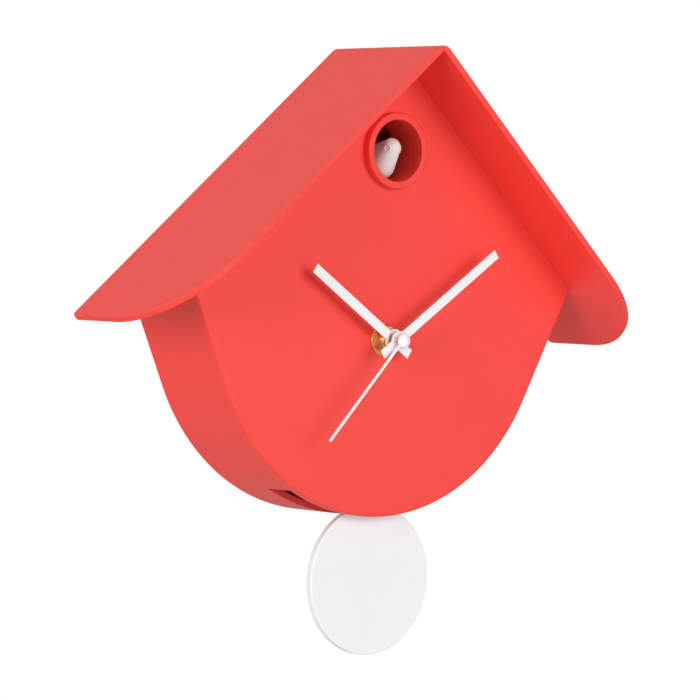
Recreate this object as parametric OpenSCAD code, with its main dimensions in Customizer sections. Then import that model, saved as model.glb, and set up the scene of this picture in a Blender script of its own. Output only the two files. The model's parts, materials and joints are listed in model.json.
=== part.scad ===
// Wall cuckoo clock: a bent slab roof over a shield-shaped case, a bird behind a
// round window, three hands on a quartz movement, and a pendulum disc below.
// Millimetres. +X is the dial's right, +Y points to the wall, +Z is up, and the
// origin is the centre of the hanger's round hole, on the rear plane.
// A depth d runs back from the dial's face, and the rear plane is at case_depth.

/* [Case] */
// Radius of the case's round bottom
arc_r = 83; // [82.5:0.1:84]
// Depth of the case from the dial's face to the wall
case_depth = 42; // [42:0.5:48]
// Thickness of the case's walls
wall = 2.5; // [2.2:0.1:2.8]
// Slope of the case's straight sides from the vertical, in degrees
side_taper = 25.6; // [25:0.1:26.5]
// Rounding of the dial's outer edge
case_edge_r = 1.2; // [1:0.1:2.2]
// Height of the dial's apex above the centre of the round bottom
apex_rise = 98.3; // [98:0.1:100]
// Height of the hanger's hole above the centre of the round bottom
hanger_rise = 76; // [75.5:0.1:76.5]

/* [Roof] */
// Slope of the roof from the horizontal, in degrees
roof_slope = 42.5; // [42:0.1:43]
// Thickness of the roof slabs
roof_t = 2.6; // [2.4:0.1:3]
// Length of each slab from the ridge to the eave
roof_len = 166; // [158:1:172]
// Reach of the roof in front of the dial
roof_front = 28; // [22:1:32]
// Gap between the roof's rear edge and the wall
roof_back_gap = 4.9; // [3:0.1:7]
// Radius of each slab's front corner
roof_corner_r = 38.8; // [20:0.2:45]
// Radius of each slab's rear corner
roof_back_r = 2; // [1:0.5:6]
// Outer radius of the ridge's bend
ridge_r = 4.6; // [3:0.1:8]

/* [Window] */
// Height of the bird's window above the centre of the round bottom
window_rise = 59.8; // [59.5:0.1:60.1]
// Radius of the window's opening
window_r = 12; // [11.8:0.1:12.1]
// Outer radius of the trim ring
ring_r = 14.9; // [14.5:0.1:15.5]
// Reach of the trim ring in front of the dial
ring_out = 3.4; // [3:0.1:5]
// Depth of the window's tunnel behind the dial's face
tunnel_depth = 14.3; // [12:0.1:14.6]

/* [Hands] */
// Drop of the hands' axis below the centre of the round bottom
axis_drop = 13.8; // [13.5:0.1:14.1]
// Length of the hour hand from the axis
hour_len = 48.5; // [35:0.5:50]
// Width of the hour hand
hour_w = 3.85; // [2.5:0.05:4]
// Clock angle of the hour hand, in degrees
hour_angle = -57.4; // [-180:0.1:180]
// Length of the minute hand from the axis
minute_len = 59.8; // [45:0.1:64]
// Width of the minute hand
minute_w = 3.65; // [2.5:0.05:4]
// Clock angle of the minute hand, in degrees
minute_angle = 53.1; // [-180:0.1:180]
// Length of the second hand from the axis
second_len = 52; // [40:0.5:60]
// Width of the second hand
second_w = 1.05; // [0.8:0.05:1.5]
// Clock angle of the second hand, in degrees
second_angle = -139.6; // [-180:0.1:180]
// Length of the hour and minute hands' tails
hand_tail = 9.7; // [6:0.1:12]

/* [Pendulum] */
// Radius of the pendulum's disc
disc_r = 29.5; // [26:0.5:30]
// Thickness of the pendulum's disc
disc_t = 3.2; // [3:0.1:3.6]
// Depth of the disc's front face behind the dial's face
disc_depth = 7.3; // [7:0.1:7.6]
// Distance from the pendulum's pivot to the disc's centre
pendulum_len = 60.9; // [59:0.1:62]
// Swing of the pendulum at rest from the plumb line, in degrees
pendulum_swing = 5.2; // [-8:0.1:8]
// Half width of the slot that the pendulum hangs through
slot_half = 38.3; // [36:0.1:39]

/* [Electrics] */
// Width of the quartz movement's case
movement_w = 56; // [56:0.5:57]
// Diameter of an AA cell
cell_d = 14.5; // [14:0.1:14.5]
// Length of an AA cell's can
cell_len = 49.2; // [48.5:0.1:49.5]

/* [Hidden] */

$fn = 48;
eps = 0.01;
big = 400;
front_y = -case_depth;
// Running clearance of a turned shaft in its bearing, and of a loose fit
run_gap = 0.05;
slack = 0.3;

// Heights in the clock's own frame
arc_z = -hanger_rise;
apex_z = arc_z + apex_rise;
window_z = arc_z + window_rise;
axis_z = arc_z - axis_drop;
// Bottom of the straight sides, where they run into the round bottom
tangent_x = arc_r * cos(side_taper);
tangent_rise = -arc_r * sin(side_taper);
// Colours
red = [0.93, 0.30, 0.27];
white = [0.95, 0.95, 0.95];
black = [0.09, 0.09, 0.10];
brass = [0.80, 0.62, 0.28];
steel = [0.72, 0.73, 0.75];
copper = [0.72, 0.40, 0.22];
green = [0.10, 0.36, 0.20];

// ---------------------------------------------------------------- shape helpers

// Extrudes an X-Z drawing back from depth d over thickness t.
module slab(d, t) {
    translate([0, front_y + d, 0]) rotate([90, 0, 0]) mirror([0, 0, 1])
        linear_extrude(t) children();
}

// Round bar along Y at (x, z), from depth d over length t.
module bar(x, z, r, d, t, fn = 64) {
    translate([x, front_y + d, z]) rotate([-90, 0, 0]) cylinder(r = r, h = t, $fn = fn);
}

// Bored round bar along Y.
module tube(x, z, r, bore, d, t) {
    difference() {
        bar(x, z, r, d, t);
        bar(x, z, bore, d - 1, t + 2);
    }
}

// Turns a drawing of radius against depth about a line along Y at (x, z).
module lathe(x, z, d) {
    translate([x, front_y + d, z]) rotate([-90, 0, 0]) rotate_extrude($fn = 96) children();
}

// Box between two X values, two depths and two heights.
module block(x0, x1, d0, d1, z0, z1) {
    translate([x0, front_y + d0, z0]) cube([x1 - x0, d1 - d0, z1 - z0]);
}

// Mirrors its children to the other side as well.
module both_sides() {
    children();
    mirror([1, 0, 0]) children();
}

// The sides lie this far inside the round bottom's tangents, so they cross it.
side_inset = 0.005;

// Corner of the roof line and the side line, both moved inwards by i.
function corner(i) = let (h = apex_rise * cos(roof_slope) - i, s = arc_r - i - side_inset,
    k = cos(roof_slope - side_taper))
    [(h * sin(side_taper) + s * cos(roof_slope)) / k,
     (h * cos(side_taper) - s * sin(roof_slope)) / k];

// Area below two radii, each at an angle above the one where the sides meet the
// round bottom.
module bottom_wedge(above) {
    x = big / 2 * cos(side_taper - above);
    z = -big / 2 * sin(side_taper - above);
    polygon([[0, 0], [x, z], [x, -big], [-x, -big], [-x, z]]);
}

// Outline of the case in X-Z, moved inwards by i: a pointed top under the roof,
// straight sides, and a round bottom that they run into without a visible kink.
module outline(i) {
    c = corner(i);
    t = [tangent_x, tangent_rise] * (arc_r - i - side_inset) / arc_r;
    translate([0, arc_z]) {
        polygon([[0, apex_rise - i / cos(roof_slope)], c, t, [0, 0], [-t[0], t[1]], [-c[0], c[1]]]);
        intersection() {
            circle(r = arc_r - i, $fn = 180);
            bottom_wedge(5);
        }
    }
}

// ------------------------------------------------------------------ gear helpers

addendum = 0.8;
dedendum = 1.0;
root_share = 0.50;
pitch_share = 0.40;
tip_share = 0.16;

// Points of a spur gear with n teeth of module m and one tooth at angle phase.
function gear_points(n, m, phase) = [for (i = [0 : n - 1])
    for (c = [[-dedendum, -root_share], [0, -pitch_share], [addendum, -tip_share],
              [addendum, tip_share], [0, pitch_share], [-dedendum, root_share]])
        let (r = m * (n / 2 + c[0]), a = phase + (i + c[1] / 2) * 360 / n)
            [r * cos(a), r * sin(a)]];

// Phase of a gear of nb teeth that meshes, in direction phi, with one of na teeth
// that has a tooth at angle pa.
function mesh_phase(pa, na, nb, phi) = phi + 180 + (180 - (pa - phi) * na) / nb;

// Spur gear about Y at (x, z).
module gear(x, z, n, m, d, t, phase = 0) {
    slab(d, t) translate([x, z]) polygon(gear_points(n, m, phase));
}

// -------------------------------------------------------------------- the case

post_r = 3.4;
post_xz = [[17, -5], [80, arc_z + 2], [40, arc_z - 62]];
cover_t = 2.4;
cover_d = case_depth - cover_t;
frame_post = [21, arc_z + 29];

// Shape cut away along an edge to round it, drawn in the first quadrant.
module edge_cut(r) {
    difference() {
        translate([-eps, -eps]) square(r + eps);
        translate([r, r]) circle(r = r);
    }
}

// The same for the dial's edge. Its arc meets both faces at a slight angle: it is drawn larger
// than the fillet by edge_spread and bulges past its square by edge_bulge.
edge_spread = 1 / 0.75;
edge_bulge = 1.03;

module dial_edge_shape(out) {
    r = case_edge_r * edge_spread;
    difference() {
        translate([-out, -out]) square(r + out);
        translate([r, r]) circle(r = edge_bulge * r);
    }
}

// Rounds the dial's outer edge along the round bottom and the straight sides.
module dial_edge_cut() {
    intersection() {
        lathe(0, arc_z, 0) translate([arc_r, 0]) mirror([1, 0]) dial_edge_shape(1);
        slab(-10, 30) translate([0, arc_z]) bottom_wedge(0);
    }
    both_sides() translate([0, front_y, arc_z]) rotate([0, side_taper, 0])
        translate([arc_r - side_inset, 0, -4]) linear_extrude(64) mirror([1, 0]) dial_edge_shape(1.5);
}

// Places its children on the roof's underside at distance u from the ridge, with
// +Z pointing out through the roof.
module on_roof(u) {
    both_sides() translate([u * cos(roof_slope), front_y + case_depth / 2, apex_z - u * sin(roof_slope)])
        rotate([0, roof_slope, 0]) children();
}

roof_screw_u = [50, 105];

module case_shell() color(red) {
    difference() {
        union() {
            difference() {
                slab(0, case_depth) outline(0);
                slab(wall, case_depth) outline(wall);
            }
            bar(0, window_z, window_r + wall + 0.6, wall - eps, tunnel_depth - wall + eps);
            both_sides() {
                for (p = post_xz) bar(p[0], p[1], post_r, wall - eps, cover_d - wall);
                bar(frame_post[0], frame_post[1], post_r, wall - eps, 15.4 - wall);
            }
        }
        dial_edge_cut();
        // Window: a seat for the trim ring's spigot, then the tunnel
        bar(0, window_z, window_r + 1.4, -1, 3.4, 96);
        bar(0, window_z, window_r + 0.3, 0, case_depth, 96);
        bar(0, axis_z, 4.2, -1, wall + 2);
        // Slot that the pendulum hangs through
        block(-slot_half, slot_half, 5, 19, arc_z - arc_r - 5, arc_z - 69);
        both_sides() {
            for (p = post_xz) bar(p[0], p[1], 1.15, cover_d - 12, 13);
            bar(frame_post[0], frame_post[1], 1.05, 7, 9);
        }
        for (u = roof_screw_u) on_roof(u) translate([0, 0, -wall - 1]) cylinder(r = 3.2, h = wall + 2);
    }
}

// Cross-section of the bent roof in X-Z, with a rounded ridge.
module roof_section() {
    run = roof_len * cos(roof_slope);
    drop = roof_len * sin(roof_slope);
    outer = apex_rise + roof_t / cos(roof_slope);
    inx = roof_t * sin(roof_slope);
    inz = roof_t * cos(roof_slope);
    centre = outer - ridge_r / cos(roof_slope);
    translate([0, arc_z]) difference() {
        polygon([[0, outer], [run, outer - drop], [run - inx, outer - drop - inz], [0, apex_rise],
                 [inx - run, outer - drop - inz], [-run, outer - drop]]);
        difference() {
            polygon([[0, outer + 1], [ridge_r * sin(roof_slope), centre + ridge_r * cos(roof_slope)],
                     [0, centre], [-ridge_r * sin(roof_slope), centre + ridge_r * cos(roof_slope)]]);
            translate([0, centre]) circle(r = ridge_r, $fn = 96);
        }
    }
}

// Shape cut away to round a slab's corner, whose edge across the roof is at Y = 0.
module slab_corner_cut(r) {
    translate([0, 0, apex_z + roof_t / cos(roof_slope)]) rotate([0, roof_slope, 0])
        translate([roof_len - r, 0, -roof_t - 2]) difference() {
            translate([0, -1, 0]) cube([r + 1, r + 1, roof_t + 4]);
            translate([0, r, -1]) cylinder(r = r, h = roof_t + 6, $fn = 128);
        }
}

module roof() color(red) {
    depth = roof_front + case_depth - roof_back_gap;
    difference() {
        union() {
            slab(-roof_front, depth) roof_section();
            for (u = roof_screw_u) on_roof(u)
                translate([0, 0, -wall + 0.1]) cylinder(r = 3, h = wall);
        }
        // Front and rear corners of each slab
        both_sides() {
            translate([0, front_y - roof_front, 0]) slab_corner_cut(roof_corner_r);
            translate([0, -roof_back_gap, 0]) mirror([0, 1, 0]) slab_corner_cut(roof_back_r);
        }
        for (u = roof_screw_u) on_roof(u) translate([0, 0, -wall - 1]) cylinder(r = 1.25, h = wall + 2.6);
    }
}

module roof_screws() color(steel) {
    for (u = roof_screw_u) on_roof(u) {
        translate([0, 0, -wall - 1.7]) cylinder(r = 4.4, h = 1.7);
        translate([0, 0, -wall - eps]) cylinder(r = 1.2, h = wall + 1.2);
    }
}

module window_ring() color(red) lathe(0, window_z, 0) {
    difference() {
        union() {
            translate([window_r, -ring_out]) square([ring_r - window_r, ring_out]);
            translate([window_r + 0.3, -eps]) square([1.05, 2.3]);
        }
        translate([ring_r, -ring_out]) mirror([1, 0]) edge_cut(0.7);
        translate([window_r, -ring_out]) edge_cut(0.5);
        translate([window_r - eps, -0.5]) square([0.3 + eps, 1]);
    }
}

// ------------------------------------------------------------------- the rear

knob = [19.2, axis_z];
// Well over the movement: left, right, top and bottom, front end and wall
well = [-31, 30.2, axis_z + 30.5, axis_z - 32];
well_d = 19.4;
well_t = 1.2;
door_x = [32, 68];
door_z = [-113.5, -54];
door_t = 1.6;
hinge_d = case_depth - 1.1;
speaker = [-54, axis_z - 1];
switch_x = -54;
switch_z = -46;
rivet = [6.2, -10];
board_post = [[-32.5, arc_z - 50.7], [-9.5, arc_z - 59.7]];

module back_cover() color(red) {
    difference() {
        union() {
            slab(cover_d, cover_t) outline(wall + 0.2);
            block(well[0] - well_t, well[1] + well_t, well_d, cover_d + eps,
                  well[3] - well_t, well[2] + well_t);
            // Posts that hold the sound board
            for (p = board_post) bar(p[0], p[1], 2.2, board_d + board_t + 0.02, cover_d - board_d - board_t);
        }
        // Seat for the hanger plate, and room for the head of the wall screw
        block(-9.2, 9.2, case_depth - 1.5, case_depth + 1, -13.2, 8.5);
        block(-5.5, 5.5, cover_d - 1, case_depth, -5.5, 7.5);
        both_sides() bar(rivet[0], rivet[1], 1.05, cover_d - 1, cover_t + 2);
        // The well's inside, over the movement's back
        block(well[0], well[1], well_d - 1, case_depth + 1, well[3], well[2]);
        // Opening for the battery door, with bearing holes for its hinge pins
        block(door_x[0] - slack, door_x[1] + slack, cover_d - 1, case_depth + 1,
            door_z[0] - 1.3, door_z[1] + slack);
        translate([door_x[0] - 2.2, front_y + hinge_d, door_z[0]]) rotate([0, 90, 0])
            cylinder(r = 0.75, h = door_x[1] - door_x[0] + 4.4);
        // Sound slots
        for (i = [-4 : 4]) let (h = sqrt(16.5 * 16.5 - 11.56 * i * i))
            block(speaker[0] + 3.4 * i - 0.9, speaker[0] + 3.4 * i + 0.9, cover_d - 1, case_depth + 1,
                speaker[1] - h, speaker[1] + h);
        // Switch window, in a shallow recess
        block(switch_x - 7, switch_x + 7, case_depth - 1, case_depth + 1, switch_z - 3, switch_z + 3);
        block(switch_x - 4.2, switch_x + 4.2, cover_d - 1, case_depth, switch_z - 1.7, switch_z + 1.7);
        both_sides() for (p = post_xz) {
            bar(p[0], p[1], 1.6, cover_d - 1, cover_t + 2);
            bar(p[0], p[1], 2.9, case_depth - 1.4, 2);
        }
    }
}

module cover_screws() color(steel) both_sides() for (p = post_xz) difference() {
    union() {
        bar(p[0], p[1], 2.7, case_depth - 1.4, 1.2);
        bar(p[0], p[1], 1.1, cover_d - 8, 9.1);
    }
    block(p[0] - 1.9, p[0] + 1.9, case_depth - 0.9, case_depth, p[1] - 0.35, p[1] + 0.35);
    block(p[0] - 0.35, p[0] + 0.35, case_depth - 0.9, case_depth, p[1] - 1.9, p[1] + 1.9);
}

module hanger_plate() color(steel) difference() {
    block(-9, 9, case_depth - 1.5, case_depth, -13, 8.3);
    bar(0, 0, 4.25, cover_d, 4, 96);
    block(-2, 2, cover_d, case_depth + 1, 0, 5);
    bar(0, 5, 2, cover_d, 4);
    both_sides() bar(rivet[0], rivet[1], 1.05, cover_d, 4);
}

module hanger_rivets() color(steel) both_sides() {
    bar(rivet[0], rivet[1], 1, cover_d - 0.5, 2.8);
    bar(rivet[0], rivet[1], 1.8, cover_d - 1, 1);
}

module battery_door() color(red) difference() {
    union() {
        block(door_x[0], door_x[1], hinge_d - door_t / 2, hinge_d + door_t / 2, door_z[0], door_z[1]);
        translate([door_x[0], front_y + hinge_d, door_z[0]]) rotate([0, 90, 0])
            cylinder(r = door_t / 2, h = door_x[1] - door_x[0]);
        translate([door_x[0] - 1.6, front_y + hinge_d, door_z[0]]) rotate([0, 90, 0])
            cylinder(r = 0.7, h = door_x[1] - door_x[0] + 3.2);
        // Snap tab behind the free edge
        block(46, 54, hinge_d - 2.2, hinge_d - door_t / 2 + eps, door_z[1] - 1.4, door_z[1] - 0.2);
    }
    // Finger scoop
    translate([50, front_y + hinge_d + 6.6, door_z[1] - 7]) rotate([0, 90, 0])
        cylinder(r = 6.4, h = 12, center = true, $fn = 64);
}

// ------------------------------------------------------------------ the cells

box_x = [33.2, 66.8];
box_z = [door_z[0] + 1.1, door_z[1] - 2.35];
box_d = [22.2, 39.58];
box_floor = 1.4;
tab_t = 0.4;
cell_r = cell_d / 2;
cell_button = 1.2;
bird_cell_x = [42.2, 57.8];
bird_cell_z0 = [box_z[1] - box_floor - tab_t - 0.1 - cell_len - cell_button,
    box_z[0] + box_floor + tab_t + 0.1 + cell_len + cell_button];
bird_cell_d = 30.6;
clock_cell_x0 = -24.2;
clock_cell_z = axis_z - 20.7;
clock_cell_d = 11.6;

module battery_box() color(black) difference() {
    block(box_x[0], box_x[1], box_d[0], box_d[1], box_z[0], box_z[1]);
    for (x = bird_cell_x) {
        translate([x, front_y + bird_cell_d, box_z[0] + box_floor])
            cylinder(r = cell_r + 0.2, h = box_z[1] - box_z[0] - 2 * box_floor, $fn = 96);
        block(x - cell_r - 0.2, x + cell_r + 0.2, bird_cell_d, box_d[1] + 1,
            box_z[0] + box_floor, box_z[1] - box_floor);
    }
}

// AA cell standing on its flat end, with its button up.
module cell() {
    cylinder(r = cell_r, h = cell_len, $fn = 96);
    cylinder(r = 2.75, h = cell_len + cell_button);
}

module bird_cells() color(steel) {
    translate([bird_cell_x[0], front_y + bird_cell_d, bird_cell_z0[0]]) cell();
    translate([bird_cell_x[1], front_y + bird_cell_d, bird_cell_z0[1]]) mirror([0, 0, 1]) cell();
}

module clock_cell() color(steel)
    translate([clock_cell_x0, front_y + clock_cell_d, clock_cell_z]) rotate([0, 90, 0]) cell();

// Coned contact spring with its wide end down, as a stack of coils in outline.
module contact_spring(h) {
    difference() {
        cylinder(r1 = 4, r2 = 2.2, h = h);
        translate([0, 0, -1]) cylinder(r1 = 3.6, r2 = 1.4, h = h + 2);
    }
}

module cell_springs() color(steel) {
    spring_h = box_z[1] - box_z[0] - 2 * box_floor - tab_t - cell_len - cell_button - 0.25;
    translate([bird_cell_x[0], front_y + bird_cell_d, box_z[0] + box_floor + 0.05]) contact_spring(spring_h);
    translate([bird_cell_x[1], front_y + bird_cell_d, box_z[1] - box_floor - 0.05]) mirror([0, 0, 1])
        contact_spring(spring_h);
    translate([-26.7, front_y + clock_cell_d, clock_cell_z]) rotate([0, 90, 0]) contact_spring(2.4);
}

module cell_tabs() color(steel) {
    block(bird_cell_x[0] - 4, bird_cell_x[0] + 4, bird_cell_d - 4, bird_cell_d + 4,
        box_z[1] - box_floor - 0.05 - tab_t, box_z[1] - box_floor - 0.05);
    block(bird_cell_x[1] - 4, bird_cell_x[1] + 4, bird_cell_d - 4, bird_cell_d + 4,
        box_z[0] + box_floor + 0.05, box_z[0] + box_floor + 0.05 + tab_t);
    block(26.3, 26.7, clock_cell_d - 4, clock_cell_d + 4, clock_cell_z - 4, clock_cell_z + 4);
}

// --------------------------------------------------------------- the movement

mv_x = movement_w / 2;
mv_z = [axis_z - 29.4, axis_z + 28];
mv_d = [3, 19];
mv_wall = 1.2;
split_d = 12;
shelf_z = [-12.9, -11.9] + [axis_z, axis_z];
arbor_r = 0.5;
// Gear train: teeth, modules and centres
third_m = 0.36;
clutch_m = 0.34;
fast_m = 0.3;
motion_m = 0.4;
hour_m = motion_m * 48 / 50;
third_xz = [0, axis_z + 34 * third_m];
inter_dir = 160;
inter_xz = [35 * fast_m * cos(inter_dir), axis_z + 35 * fast_m * sin(inter_dir)];
rotor_dir = 200;
rotor_xz = inter_xz + 24 * fast_m * [cos(rotor_dir), sin(rotor_dir)];
rev_xz = [24 * motion_m, axis_z];

module movement_front() color(black) difference() {
    union() {
        difference() {
            block(-mv_x, mv_x, mv_d[0], split_d, mv_z[0], mv_z[1]);
            block(-mv_x + mv_wall, mv_x - mv_wall, mv_d[0] + mv_wall, split_d + 1,
                  mv_z[0] + mv_wall, mv_z[1] - mv_wall);
        }
        // Shelf between the train and the cell
        block(-mv_x + mv_wall - eps, mv_x - mv_wall + eps, mv_d[0] + mv_wall - eps, split_d,
              shelf_z[0], shelf_z[1]);
        // Post of the reversing wheel, and ledges that carry the middle plate
        bar(rev_xz[0], rev_xz[1], 0.7, mv_d[0] + mv_wall - eps, 4);
        both_sides() block(-mv_x + mv_wall - eps, -mv_x + 3.4, mv_d[0] + mv_wall - eps, 11.7,
                           axis_z + 20, axis_z + 26.8);
        both_sides() block(-mv_x + mv_wall - eps, -mv_x + 3.4, mv_d[0] + mv_wall - eps, 11.7,
                           axis_z - 11.8, axis_z - 9);
    }
    bar(0, axis_z, 4.05, mv_d[0] - 1, mv_wall + 2);
    bar(third_xz[0], third_xz[1], arbor_r + run_gap, mv_d[0] + 0.4, 2);
    bar(knob[0], knob[1], 1 + run_gap, mv_d[0] + 0.4, 2);
}

module movement_back() color(black) difference() {
    block(-mv_x, mv_x, split_d, mv_d[1], mv_z[0], mv_z[1]);
    block(-mv_x + mv_wall, mv_x - mv_wall, split_d - 1, mv_d[1] - mv_wall,
          shelf_z[1], mv_z[1] - mv_wall);
    // Open bay of the cell
    block(-mv_x + mv_wall, mv_x - mv_wall, split_d - 1, mv_d[1] + 1, mv_z[0] + mv_wall, shelf_z[0]);
    bar(0, axis_z, arbor_r + run_gap, mv_d[1] - mv_wall - 1, 1.8);
    bar(third_xz[0], third_xz[1], arbor_r + run_gap, mv_d[1] - mv_wall - 1, 1.8);
    bar(inter_xz[0], inter_xz[1], arbor_r + run_gap, mv_d[1] - mv_wall - 1, 1.8);
    bar(rotor_xz[0], rotor_xz[1], arbor_r + run_gap, mv_d[1] - mv_wall - 1, 1.8);
    bar(knob[0], knob[1], 1 + run_gap, mv_d[1] - 3, 5);
}

module mid_plate() color(white) difference() {
    block(-mv_x + mv_wall + 0.2, mv_x - mv_wall - 0.2, 11.75, 12.25,
          shelf_z[1] + 0.3, mv_z[1] - mv_wall - 0.2);
    bar(0, axis_z, 1.2, 11, 2);
    bar(third_xz[0], third_xz[1], 1.2, 11, 2);
    bar(inter_xz[0], inter_xz[1], arbor_r + run_gap, 11, 2);
    bar(rotor_xz[0], rotor_xz[1], arbor_r + run_gap, 11, 2);
    bar(knob[0], knob[1], 1.3, 11, 2);
    // Room for the coil
    block(-mv_x + mv_wall, -19, 11, 13, shelf_z[1], axis_z + 18);
}

bush_end = 4.8;
bush_r = 4;

// Brass bush with a screwed outside, whose grooves run round it.
module threaded_bush() color(brass) difference() {
    union() {
        bar(0, axis_z, 5.8, mv_d[0] + mv_wall, 0.5, 96);
        bar(0, axis_z, bush_r - 0.35, -bush_end, bush_end + mv_d[0] + mv_wall + eps, 96);
        lathe(0, axis_z, 0) for (i = [0 : 8]) translate([0, -bush_end + 0.3 + 0.75 * i])
            polygon([[1, 0], [bush_r - 0.36, 0], [bush_r, 0.25],
                     [bush_r, 0.45], [bush_r - 0.36, 0.7], [1, 0.7]]);
        bar(0, axis_z, bush_r, 2.3, 0.7 + mv_wall, 96);
    }
    bar(0, axis_z, 2.65, -bush_end - 1, 20, 96);
}

module hex_nut() color(brass) difference() {
    intersection() {
        slab(-2.95, 2.4) translate([0, axis_z]) rotate(30) circle(r = 6.05, $fn = 6);
        lathe(0, axis_z, 0) polygon([[0, -3], [5.3, -3], [6.2, -2.45], [6.2, 0], [0, 0]]);
    }
    bar(0, axis_z, bush_r + 0.03, -4, 5, 96);
}

module dial_washer() color(brass) tube(0, axis_z, 6.25, 4.15, -0.5, 0.48);

module rubber_washer() color(black) tube(0, axis_z, 7.5, 4.3, wall + 0.02, mv_d[0] - wall - 0.04);

module drive_coil() color(copper) difference() {
    translate([-23, front_y + 13, axis_z - 7]) cylinder(r = 3.4, h = 20, $fn = 64);
    translate([-23, front_y + 13, axis_z - 8]) cylinder(r = 1.3, h = 22, $fn = 64);
}

module coil_core() color(steel) {
    translate([-23, front_y + 13, axis_z - 10.5]) cylinder(r = 1.25, h = 27);
}

module stator() color(steel) difference() {
    union() {
        block(-19.2, -13, 12.8, 13.4, axis_z - 10.4, axis_z + 16.4);
        // Ears that reach the coil's core
        block(-21.72, -13, 12.8, 13.4, axis_z - 10.4, axis_z - 7.4);
        block(-21.72, -13, 12.8, 13.4, axis_z + 13.4, axis_z + 16.4);
    }
    bar(rotor_xz[0], rotor_xz[1], 2.3, 12, 3);
}

module circuit_board() color(green) {
    block(4, 25.6, 16.2, 17.2, axis_z + 4.5, axis_z + 24);
    block(9, 16, 15.4, 16.2 + eps, axis_z + 10, axis_z + 17);
    block(18.5, 21.5, 13.6, 16.2 + eps, axis_z + 8, axis_z + 16);
}

// Phases that keep each pair of gears in mesh
third_phase = mesh_phase(90, 8, 60, 90);
clutch_phase = mesh_phase(270, 8, 64, 270);
seconds_phase = mesh_phase(inter_dir + 180, 10, 60, inter_dir + 180);
inter_phase = mesh_phase(rotor_dir + 180, 8, 40, rotor_dir + 180);
rev_phase = mesh_phase(0, 12, 36, 0);
hour_phase = mesh_phase(180, 10, 40, 180);
knob_phase = mesh_phase(rev_phase, 36, 12, 0);

module rotor() color(white) {
    bar(rotor_xz[0], rotor_xz[1], 1.9, 12.5, 1.3);
    gear(rotor_xz[0], rotor_xz[1], 8, fast_m, 13.79, 1.7, rotor_dir + 180);
    bar(rotor_xz[0], rotor_xz[1], arbor_r, 11.8, 6.5);
}

module intermediate_wheel() color(white) {
    gear(inter_xz[0], inter_xz[1], 10, fast_m, 12.6, 2.01, inter_dir + 180);
    gear(inter_xz[0], inter_xz[1], 40, fast_m, 14.6, 0.8, inter_phase);
    bar(inter_xz[0], inter_xz[1], arbor_r, 11.8, 6.5);
}

module seconds_wheel() color(white) {
    gear(0, axis_z, 60, fast_m, 12.8, 0.8, seconds_phase);
    gear(0, axis_z, 8, third_m, 10.1, 1.4, 90);
    bar(0, axis_z, arbor_r, -12, 30.3);
}

module third_wheel() color(white) {
    gear(third_xz[0], third_xz[1], 60, third_m, 10.4, 0.8, third_phase);
    gear(third_xz[0], third_xz[1], 8, clutch_m, 8.1, 2.31, 270);
    bar(third_xz[0], third_xz[1], arbor_r, 3.7, 14.6);
}

module clutch_wheel() color(white) difference() {
    union() {
        gear(0, axis_z, 64, clutch_m, 8.4, 0.8, clutch_phase);
        bar(0, axis_z, 2.6, 8.2, 1.5);
    }
    bar(0, axis_z, 1.25 + run_gap, 7, 4);
}

pipe_r = 1.6;
minute_d = -9.7;

module minute_pipe() color(brass) difference() {
    union() {
        bar(0, axis_z, pipe_r, minute_d - 0.4, 17.8);
        bar(0, axis_z, 1.25, 7.6, 2.3);
        gear(0, axis_z, 12, motion_m, 6.4, 1.2, 0);
    }
    bar(0, axis_z, arbor_r + 0.08, minute_d - 2, 24);
}

module reversing_wheel() color(white) difference() {
    union() {
        gear(rev_xz[0], rev_xz[1], 36, motion_m, 6.5, 1, rev_phase);
        gear(rev_xz[0], rev_xz[1], 10, hour_m, 4.6, 1.91, 180);
    }
    bar(rev_xz[0], rev_xz[1], 0.7 + run_gap, 3, 8);
}

hour_d = -6.7;
hour_pipe_r = 2.55;

module hour_wheel() color(brass) difference() {
    union() {
        gear(0, axis_z, 40, hour_m, 4.9, 1, hour_phase);
        bar(0, axis_z, hour_pipe_r, hour_d - 0.3, 5.9 - hour_d);
    }
    bar(0, axis_z, pipe_r + 0.08, hour_d - 2, 24);
}

// Flat hand with square ends and a raised collar; angle is clockwise from 12.
module hand(len, tail, w, angle, d, hub, hub_t, bore) {
    translate([0, 0, axis_z]) rotate([0, angle, 0]) translate([0, 0, -axis_z]) difference() {
        union() {
            block(-w / 2, w / 2, d, d + 0.5, axis_z - tail, axis_z + len);
            bar(0, axis_z, hub, d - hub_t, hub_t + 0.5);
        }
        bar(0, axis_z, bore, d - 3, 6);
    }
}

module hour_hand() color(white) difference() {
    hand(hour_len, hand_tail, hour_w, hour_angle, hour_d, 4.3, 0.5, hour_pipe_r + 0.01);
    bar(0, axis_z, 3.3, hour_d - 1, 1, 64);
}

module minute_hand() color(white)
    hand(minute_len, hand_tail, minute_w, minute_angle, minute_d, 3.6, 0.35, pipe_r + 0.01);

module second_hand() color(white) {
    difference() {
        union() {
            hand(second_len, 0, second_w, second_angle, -12.1, 1.6, 0, arbor_r + 0.01);
            bar(0, axis_z, 0.95, -11.7, 1.4);
        }
        bar(0, axis_z, arbor_r + 0.01, -12, 3);
    }
}

module second_cap() color(white) lathe(0, axis_z, -12.12) intersection() {
    translate([0, 2.0]) circle(r = 4.05, $fn = 96);
    translate([0, -3]) square([2.9, 3]);
}

module setting_knob() color(black) {
    gear(knob[0], knob[1], 12, motion_m, 6.4, 1.2, knob_phase);
    bar(knob[0], knob[1], 1, 3.7, 16.2);
    difference() {
        bar(knob[0], knob[1], 6.6, 19.4, 3.6);
        for (i = [0 : 17]) bar(knob[0] + 6.9 * cos(20 * i), knob[1] + 6.9 * sin(20 * i), 0.6, 19, 5, 24);
    }
}

// --------------------------------------------------------------- the pendulum

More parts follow.
